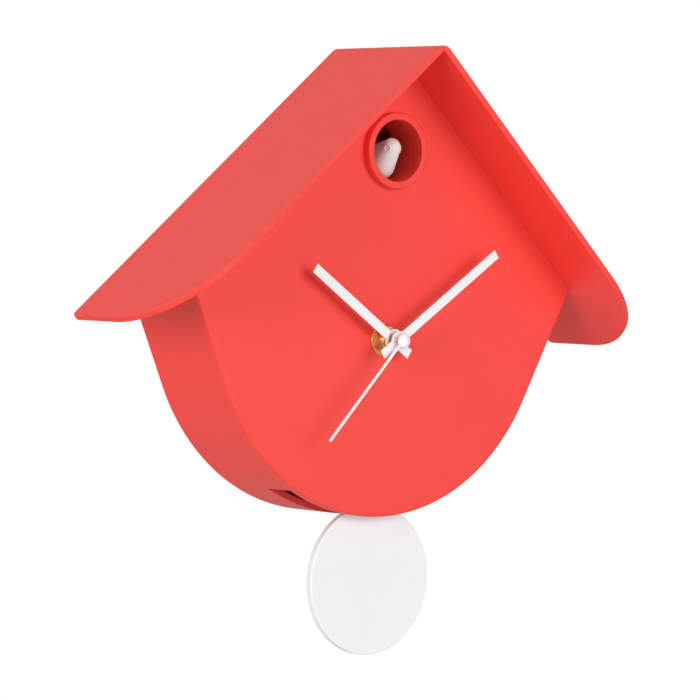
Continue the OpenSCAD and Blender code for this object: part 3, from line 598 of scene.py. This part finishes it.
def corner_tool(side, outer, r, edge_y, ahead):
    """Cutter that rounds a slab's corner; ahead is -1 for the front edge and 1 for the rear."""
    arc_steps, spare, clear = 40, 2, 3
    along, out = roof_ways(side)
    start = Vector((0, edge_y - ahead * r, outer)) + along * (roof_len - r)
    turns = [math.pi / 2 * k / arc_steps for k in range(arc_steps + 1)]
    arc = [(r * math.cos(t), ahead * r * math.sin(t)) for t in turns]
    far = r + spare
    rim = [(far, 0), (far, ahead * far), (0, ahead * far)] + arc[::-1]
    rings = [[start + along * u + Vector((0, v, 0)) + out * w for u, v in rim]
             for w in (-roof_t - clear, clear)]
    return loft("corner", rings)


def roof_boss(side, reach):
    """Boss under a slab that stands in the case's top wall, with a blind bore for a screw."""
    boss_r, bore_r, bore_top, lap = 3, 1.25, -1.4, 0.1
    along, out = roof_ways(side)
    foot = Vector((0, depth(case_depth / 2), apex_z)) + along * reach
    rings = []
    for r, w in ((bore_r, bore_top), (bore_r, lap - wall), (boss_r, lap - wall), (boss_r, lap)):
        rings.append([foot + along * r * math.cos(t) + Vector((0, r * math.sin(t), 0)) + out * w
                      for t in around(48)])
    return loft("boss", rings)


def roof():
    """The bent slab roof, with a rounded ridge and round front corners."""
    run, drop = roof_len * math.cos(roof_slope), roof_len * math.sin(roof_slope)
    outer = apex_z + roof_t / math.cos(roof_slope)
    in_x, in_z = roof_t * math.sin(roof_slope), roof_t * math.cos(roof_slope)
    centre = outer - ridge_r / math.cos(roof_slope)
    half_steps = 8
    ridge = []
    for k in range(2 * half_steps + 1):
        t = roof_slope * (k / half_steps - 1)
        ridge.append((ridge_r * math.sin(t), centre + ridge_r * math.cos(t)))
    outline = ridge + [(run, outer - drop), (run - in_x, outer - drop - in_z), (0, apex_z),
                       (in_x - run, outer - drop - in_z), (-run, outer - drop)]
    slab = prism("roof_look", outline, roof_lo.y, roof_hi.y)
    for side in (-1, 1):
        combine(slab, "DIFFERENCE",
                corner_tool(side, outer, roof_corner_r, roof_lo.y, ahead=-1),
                corner_tool(side, outer, roof_back_r, roof_hi.y, ahead=1))
    gather(slab, *(roof_boss(side, reach) for side in (-1, 1) for reach in (50, 105)))
    stand_for(slab, "roof", width=roof_edge_r, steps=3)


def window_ring():
    """Trim ring round the bird's window, with its spigot in the dial."""
    spigot_in, spigot_out, spigot_end = window_r + 0.3, window_r + 1.35, depth(2.3)
    profile = [(window_r, depth(-ring_out), 0.5), (ring_r, depth(-ring_out), 0.7),
               (ring_r, depth(0), 0.05), (spigot_out, depth(0), 0.05),
               (spigot_out, spigot_end, 0.15), (spigot_in, spigot_end, 0.1),
               (spigot_in, depth(-0.5), 0), (window_r, depth(-0.5), 0.05)]
    stand_for(turned("ring_look", profile, window, steps=128), "window_ring")


# ------------------------------------------------------------------------- the hands


def hand(name, collar, plane, length, tail, width, angle, bore):
    """Flat hand with square ends and a turned collar, drawn at 12 and turned to its angle."""
    low, high = hands_at.z - tail, hands_at.z + length
    outline = [(-width / 2, low), (width / 2, low), (width / 2, high), (-width / 2, high)]
    piece = prism(name, outline, depth(plane), depth(plane + hand_t))
    combine(piece, "UNION", turned("collar", collar, hands_at))
    combine(piece, "DIFFERENCE",
            bore_tool("bore", hands_at, bore, depth(plane - 3), depth(plane + 3)))
    turn_about(piece, hands_at, math.radians(angle))
    return piece


def hour_hand():
    """Hour hand, whose collar has a raised rim and is pressed on the hour wheel's pipe."""
    plane, inner, rim_in, collar_r = -6.7, 2.2, 3.3, 4.3
    rim, front, back = depth(plane - 0.5), depth(plane), depth(plane + hand_t)
    collar = [(inner, front, 0), (rim_in, front, 0.08), (rim_in, rim, 0.1),
              (collar_r, rim, 0.15), (collar_r, back, 0.1), (inner, back, 0)]
    piece = hand("hour_look", collar, plane, length=48.5, tail=9.7, width=3.85,
                 angle=-57.4, bore=2.56)
    stand_for(piece, "hour_hand", width=0.11, angle=40.0)


def minute_hand():
    """Minute hand, with a flat collar pressed on the minute pipe."""
    plane, inner, collar_r = -9.7, 1.2, 3.6
    front, back = depth(plane - 0.35), depth(plane + hand_t)
    collar = [(inner, front, 0), (collar_r, front, 0.12), (collar_r, back, 0.1), (inner, back, 0)]
    piece = hand("minute_look", collar, plane, length=59.8, tail=9.7, width=3.65,
                 angle=53.1, bore=pipe_r + 0.01)
    stand_for(piece, "minute_hand", width=0.11, angle=40.0)


def second_hand():
    """Thin second hand, with a tube that runs back over its arbor."""
    plane, inner, collar_r, tube_r = -12.1, 0.3, 1.6, 0.95
    front, back, tube_end = depth(plane), depth(plane + hand_t), depth(-10.3)
    collar = [(inner, front, 0), (collar_r, front, 0.1), (collar_r, back, 0.1),
              (tube_r, back, 0.05), (tube_r, tube_end, 0.1), (inner, tube_end, 0)]
    piece = hand("second_look", collar, plane, length=52, tail=0, width=1.05,
                 angle=-139.6, bore=0.51)
    stand_for(piece, "second_hand", width=0.09, angle=40.0)


def second_cap():
    """Cap with a low dome over the second hand's collar."""
    lo, hi = box_mm("second_cap")
    r = (hi.x - lo.x) / 2
    dome_r, dome_steps = 4.05, 12
    dome_y = lo.y + dome_r
    edge = math.asin(r / dome_r)
    shoulder = dome_y - dome_r * math.cos(edge)
    profile = [(0, hi.y), (r - 0.15, hi.y), (r, hi.y - 0.15), (r, shoulder + 0.22),
               (r - 0.06, shoulder + 0.06)]
    for k in range(1, dome_steps + 1):
        t = (edge - 0.04) * (1 - k / dome_steps)
        profile.append((dome_r * math.sin(t), dome_y - dome_r * math.cos(t)))
    stand_for(lathe("cap_look", profile, place_y(hands_at)), "second_cap")


def threaded_bush():
    """Brass bush: a true helical thread, then a plain shank and a flange."""
    lo, hi = box_mm("threaded_bush")
    root, pitch, flank, crest, run_in = 3.64, 0.75, 3.2, 1.6, 0.5
    steps, rows_per_turn = 64, 6
    bore_r, flange_r = 2.65, 5.8
    start, end, seat = lo.y, depth(2.3), depth(4.2)
    rows = int((end - start) / pitch * rows_per_turn)
    rings = []
    for k in range(rows + 1):
        y = start + (end - start) * k / rows
        fade = min(1.0, (y - start) / run_in)
        ring = []
        for i in range(steps):
            share = i / steps
            phase = ((y - start) / pitch + share) % 1.0
            ridge = max(0.0, 1 - abs(phase - 0.5) * flank)
            # The crest is cut flat
            radius = root + (bush_r - root) * min(1.0, ridge * crest) * fade
            t = 2 * math.pi * share
            ring.append((hands_at.x + radius * math.cos(t), y, hands_at.z + radius * math.sin(t)))
        rings.append(ring)
    thread = loft("bush_look", rings)
    combine(thread, "DIFFERENCE", bore_tool("bore", hands_at, bore_r, lo.y - 1, hi.y + 1))
    flange = [(bore_r, end, 0), (bush_r, end, 0.05), (bush_r, seat, 0), (flange_r, seat, 0.1),
              (flange_r, hi.y, 0.1), (bore_r, hi.y, 0)]
    gather(thread, turned("flange", flange, hands_at))
    stand_for(thread, "threaded_bush")


def hex_nut():
    """Hexagon nut, chamfered on its front, round the bush."""
    lo, hi = box_mm("hex_nut")
    corner_r, blank_r, chamfer = 6.05, 6.2, 0.55
    outline = []
    for i in range(6):
        t = math.pi / 3 * i + math.pi / 6
        outline.append((hands_at.x + corner_r * math.cos(t), hands_at.z + corner_r * math.sin(t)))
    nut = prism("nut_look", outline, lo.y, hi.y)
    blank = [(5.25, lo.y), (blank_r, lo.y + chamfer), (blank_r, hi.y - 0.2), (5.9, hi.y)]
    combine(nut, "INTERSECT", lathe("blank", blank, place_y(hands_at)))
    combine(nut, "DIFFERENCE", bore_tool("bore", hands_at, bush_r + 0.03, lo.y - 1, hi.y + 1))
    stand_for(nut, "hex_nut", width=0.12, angle=20.0)


def washers():
    """Flat brass washer on the dial, and the rubber one behind it."""
    for node, bore_r, edge_r in (("dial_washer", 4.15, 0.12), ("rubber_washer", 4.3, 0.2)):
        lo, hi = box_mm(node)
        r = (hi.x - lo.x) / 2
        profile = [(bore_r, lo.y, edge_r), (r, lo.y, edge_r), (r, hi.y, edge_r / 2),
                   (bore_r, hi.y, edge_r / 2)]
        stand_for(turned(node + "_look", profile, hands_at), node)


# ---------------------------------------------------------------------- the pendulum


def pendulum_disc():
    """Flat enamelled disc with a rounded rim."""
    lo, hi = box_mm("pendulum_disc")
    r, edge_r = (hi.z - lo.z) / 2, 0.6
    profile = [(0, lo.y, 0), (r, lo.y, edge_r), (r, hi.y, edge_r), (0, hi.y, 0)]
    disc = turned("disc_look", profile, middle("pendulum_disc"), closed=False, steps=160)
    stand_for(disc, "pendulum_disc")


# -------------------------------------------------------------------------- the bird


def ball_points(centre, r, steps=24):
    """Points spread over a ball."""
    points = []
    for i in range(steps + 1):
        lat = math.pi * i / steps
        for j in range(2 * steps):
            lon = math.pi * j / steps
            way = Vector((math.sin(lat) * math.cos(lon), math.cos(lat),
                          math.sin(lat) * math.sin(lon)))
            points.append(centre + r * way)
    return points


def swell(gap, width):
    """Height of a soft bump, 1 at its middle and fading over a width."""
    return math.exp(-(gap / width) ** 2)


def smooth_body(name, balls):
    """Smooth skin drawn tight round balls of (centre, radius)."""
    bm = bmesh.new()
    for centre, r in balls:
        for p in ball_points(centre, r - 0.02):
            bm.verts.new(p * MM)
    hull = bmesh.ops.convex_hull(bm, input=bm.verts)
    inside = [v for v in hull["geom_interior"] if isinstance(v, bmesh.types.BMVert)]
    bmesh.ops.delete(bm, geom=inside, context="VERTS")
    mesh = bpy.data.meshes.new(name)
    bm.to_mesh(mesh)
    bm.free()
    piece = bpy.data.objects.new(name, mesh)
    scene.collection.objects.link(piece)
    remesh = piece.modifiers.new("remesh", "REMESH")
    remesh.mode = "VOXEL"
    remesh.voxel_size = 0.17 * MM
    relax = piece.modifiers.new("relax", "SMOOTH")
    relax.factor = 0.5
    relax.iterations = 8
    settle(piece)
    return piece


def bird():
    """Smooth little bird: one drop-shaped body, ring eyes and a beak that is only hinted at."""
    head, head_r = Vector((0, depth(1.2), window.z + 1.3)), 3.7
    chest, chest_r = Vector((0, depth(6.6), window.z - 5.8)), 5.2
    back, back_r = Vector((0, depth(9.9), window.z - 1.9)), 4.5
    piece = smooth_body("bird_look", ((head, head_r), (chest, chest_r), (back, back_r)))
    eyes = [head + Vector((side * head_r * 0.9, -1.5, -0.6)) for side in (-1, 1)]
    eye_r, eye_rise, dish_r, dish_drop = 1.2, 0.34, 0.75, 0.36
    beak_z, beak_half, beak_up, beak_rise = head.z - 2.5, 1.5, 0.9, 0.07
    for v in piece.data.vertices:
        p = v.co / MM
        out = Vector(v.normal)
        for eye in eyes:
            gap = (p - eye).length
            # Raised ring with a shallow dish inside it
            v.co += out * MM * eye_rise * swell(gap - eye_r, 0.3)
            v.co -= out * MM * dish_drop * swell(gap, dish_r)
        # Hinted beak: a faint oval line low on the front of the head
        if p.y < head.y:
            rim = math.hypot(p.x / beak_half, (p.z - beak_z) / beak_up)
            v.co += out * MM * beak_rise * swell(rim - 1, 0.25)
    stand_for(piece, "bird")


# ----------------------------------------------------- cells, springs and the windings


def tube_along(name, path, r, sides=8):
    """Round wire along a path of points."""
    rings = []
    normal = Vector((0.3, 0.5, 0.8))
    for i, p in enumerate(path):
        along = (path[min(i + 1, len(path) - 1)] - path[max(i - 1, 0)]).normalized()
        normal = (normal - along * normal.dot(along)).normalized()
        other = along.cross(normal)
        rings.append([p + r * (normal * math.cos(t) + other * math.sin(t)) for t in around(sides)])
    return loft(name, rings)


def coned_spring(name, foot, up, height):
    """Coned contact spring, wide end at its foot."""
    wire, foot_r, tip_r, turns, steps = 0.3, 4, 2.2, 3.5, 100
    side = Vector((0, 1, 0))
    other = up.cross(side)
    path = []
    for k in range(steps + 1):
        share = k / steps
        t = 2 * math.pi * turns * share
        r = foot_r - wire + (tip_r - foot_r) * share
        rise = wire + (height - 2 * wire) * share
        path.append(foot + up * rise + r * (side * math.cos(t) + other * math.sin(t)))
    return tube_along(name, path, wire)


def cell_springs():
    """Springs under one bird cell, over the other, and at the end of the clock's cell."""
    lo = box_mm("cell_springs")[0]
    cells_lo, cells_hi = box_mm("bird_cells")
    box_lo, box_hi = box_mm("battery_box")
    cell_lo, cell_hi = box_mm("clock_cell")
    r, total = (cell_hi.z - cell_lo.z) / 2, cell_hi.x - cell_lo.x
    y = (cells_lo.y + cells_hi.y) / 2
    floor, slack = 1.45, 0.15
    low = Vector((cells_lo.x + r, y, box_lo.z + floor))
    high = Vector((cells_hi.x - r, y, box_hi.z - floor))
    height = cells_hi.z - total - low.z - slack
    up, right = Vector((0, 0, 1)), Vector((1, 0, 0))
    at = middle("clock_cell")
    piece = coned_spring("springs_look", low, up, height)
    gather(piece, coned_spring("spring", high, -up, height),
           coned_spring("spring", Vector((lo.x, at.y, at.z)), right, height=2.4))
    stand_for(piece, "cell_springs")


def cell(name, foot, up, r, length, button):
    """Cell with a rolled rim, a crimped shoulder and a pressed button."""
    button_r, crimp = 2.75, length - 0.25
    corners = [(0, 0.15, 0), (r - 1.6, 0.15, 0.1), (r - 1.2, 0, 0.15), (r, 0, 0.5),
               (r, length, 0.6), (r - 1.3, length, 0.2), (r - 1.7, crimp, 0.15),
               (button_r, crimp, 0.15), (button_r, length + button, 0.4), (0, length + button, 0)]
    return lathe(name, rounded(corners), place_on(foot, up), steps=64)


def cells():
    """The clock's cell, and the bird's two cells side by side with opposite ends up."""
    up, right = Vector((0, 0, 1)), Vector((1, 0, 0))
    lo, hi = box_mm("clock_cell")
    at = middle("clock_cell")
    r, button = (hi.z - lo.z) / 2, 1.2
    length = hi.x - lo.x - button
    one = cell("clock_cell_look", Vector((lo.x, at.y, at.z)), right, r, length, button)
    stand_for(one, "clock_cell")
    lo, hi = box_mm("bird_cells")
    y = (lo.y + hi.y) / 2
    upright = Vector((lo.x + r, y, hi.z - length - button))
    upturned = Vector((hi.x - r, y, lo.z + length + button))
    pair = cell("bird_cells_look", upright, up, r, length, button)
    gather(pair, cell("cell", upturned, -up, r, length, button))
    stand_for(pair, "bird_cells")


def ridged(r, start, end, turns):
    """Outer side of a winding, one shallow ridge for each turn."""
    steps = 4 * turns
    out = []
    for k in range(steps + 1):
        share = k / steps
        ridge = 0.1 * abs(math.cos(math.pi * turns * share))
        out.append((r - ridge, start + (end - start) * share))
    return out


def windings():
    """Drive coil on its upright core, and the flat pendulum coil."""
    lo, hi = box_mm("drive_coil")
    at, core_r = middle("drive_coil"), 1.3
    profile = ridged((hi.x - lo.x) / 2, lo.z, hi.z, turns=40) + [(core_r, hi.z), (core_r, lo.z)]
    coil = lathe("drive_coil_look", profile, place_z(at), closed=True, steps=48)
    stand_for(coil, "drive_coil")
    lo, hi = box_mm("pendulum_coil")
    at, core_r = middle("pendulum_coil"), 2
    profile = ridged((hi.x - lo.x) / 2, lo.y, hi.y, turns=14) + [(core_r, hi.y), (core_r, lo.y)]
    coil = lathe("pendulum_coil_look", profile, place_y(at), closed=True, steps=72)
    stand_for(coil, "pendulum_coil")


# ---------------------------------------------------------------------- build it all

case_shell()
roof()
window_ring()
hour_hand()
minute_hand()
second_hand()
second_cap()
threaded_bush()
hex_nut()
washers()
pendulum_disc()
bird()
cell_springs()
cells()
windings()

# CAD nodes that keep their shape, with the width of their soft edges
soft_edges = {
    "back_cover": 0.35, "cover_screws": 0.12, "hanger_plate": 0.15, "hanger_rivets": 0.25,
    "battery_door": 0.3, "battery_box": 0.2, "movement_front": 0.25, "movement_back": 0.25,
    "setting_knob": 0.12, "roof_screws": 0.2, "pendulum_bracket": 0.2, "pendulum_arm": 0.2,
    "pendulum_rod": 0.1, "pendulum_magnet": 0.15, "bird_rack": 0.1, "bird_frame": 0.2,
    "motor": 0.3, "speaker_basket": 0.15, "speaker_magnet": 0.3, "sound_board": 0.1,
    "board_parts": 0.15, "light_sensor": 0.1, "switch_body": 0.2, "switch_slider": 0.15,
    "minute_pipe": 0.05, "cell_tabs": 0.05,
}
for node, piece in frame["nodes"].items():
    if not piece.hide_render:
        dress(node, soft_edges.get(node, 0.0))


# ------------------------------------------------------------ camera, floor and light


def camera():
    """Long-lens camera on the dial's left, almost level, with a slight roll."""
    azimuth, elevation, roll = math.radians(-39.22), math.radians(0.486), math.radians(2.962)
    distance, lens, sensor = 1.5284, 203.27, 36.0
    target = Vector((-0.01646, -0.042, -0.09445))
    back = Vector((math.sin(azimuth) * math.cos(elevation),
                   -math.cos(azimuth) * math.cos(elevation), math.sin(elevation)))
    right = (-back).cross(Vector((0, 0, 1))).normalized()
    up = right.cross(-back)
    across = right * math.cos(roll) + up * math.sin(roll)
    upward = up * math.cos(roll) - right * math.sin(roll)
    data = bpy.data.cameras.new("camera")
    data.sensor_width = sensor
    data.lens = lens
    data.clip_start, data.clip_end = 0.1, 50.0
    eye = bpy.data.objects.new("camera", data)
    facing = Matrix((across, upward, back)).transposed().to_4x4()
    eye.matrix_world = Matrix.Translation(target + back * distance) @ facing
    scene.collection.objects.link(eye)
    scene.camera = eye


def white_to_camera(tree, output, plain, white_kind):
    """Shows pure white to the camera and the plain shader to every other ray."""
    path = tree.nodes.new("ShaderNodeLightPath")
    mix = tree.nodes.new("ShaderNodeMixShader")
    white = tree.nodes.new(white_kind)
    white.inputs["Color"].default_value = (1, 1, 1, 1)
    white.inputs["Strength"].default_value = 1.0
    tree.links.new(path.outputs["Is Camera Ray"], mix.inputs["Fac"])
    tree.links.new(plain, mix.inputs[1])
    tree.links.new(white.outputs[0], mix.inputs[2])
    tree.links.new(mix.outputs[0], output.inputs["Surface"])


def softbox(name, power, size, side, rise):
    """Square soft light aimed at the dial, from degrees to its right and degrees up."""
    distance = 3.0
    light = bpy.data.lights.new(name, "AREA")
    light.energy = power
    light.size = size
    side, rise = math.radians(side), math.radians(rise)
    towards = Vector((math.sin(side) * math.cos(rise), -math.cos(side) * math.cos(rise),
                      math.sin(rise)))
    lamp = bpy.data.objects.new(name, light)
    lamp.location = Vector((0, front_y * MM, arc_z * MM)) + towards * distance
    lamp.rotation_euler = towards.to_track_quat("Z", "Y").to_euler()
    lamp.visible_camera = False
    scene.collection.objects.link(lamp)


def room():
    """White surroundings that light the clock more from behind than from the front."""
    world = bpy.data.worlds.new("studio")
    world.use_nodes = True
    tree = world.node_tree
    plain = tree.nodes["Background"]
    plain.inputs["Color"].default_value = (1, 1, 1, 1)
    coord = tree.nodes.new("ShaderNodeTexCoord")
    split = tree.nodes.new("ShaderNodeSeparateXYZ")
    tree.links.new(coord.outputs["Generated"], split.inputs["Vector"])
    glow = mapped(tree, split.outputs["Y"], (-0.3, 0.4), (0.3, 0.72))
    tree.links.new(glow, plain.inputs["Strength"])
    white_to_camera(tree, tree.nodes["World Output"], plain.outputs[0], "ShaderNodeBackground")
    scene.world = world


def studio():
    """The room, a pale floor, and two broad soft lights."""
    room()
    mat, tree, shader = node_tree("floor")
    shader.inputs["Base Color"].default_value = (0.8, 0.8, 0.8, 1)
    shader.inputs["Roughness"].default_value = 0.8
    white_to_camera(tree, tree.nodes["Material Output"], shader.outputs[0], "ShaderNodeEmission")
    floor_z, half = -360.0, 6000.0
    corners = [(-half, -half, floor_z), (half, -half, floor_z), (half, half, floor_z),
               (-half, half, floor_z)]
    floor = mesh_piece("floor", corners, [(0, 1, 2, 3)])
    floor.data.materials.append(mat)
    softbox("key", power=50.0, size=1.9, side=4.5, rise=10.5)
    softbox("fill", power=55.0, size=1.6, side=-76.0, rise=3.0)
    scene.view_settings.view_transform = "Standard"


camera()
studio()
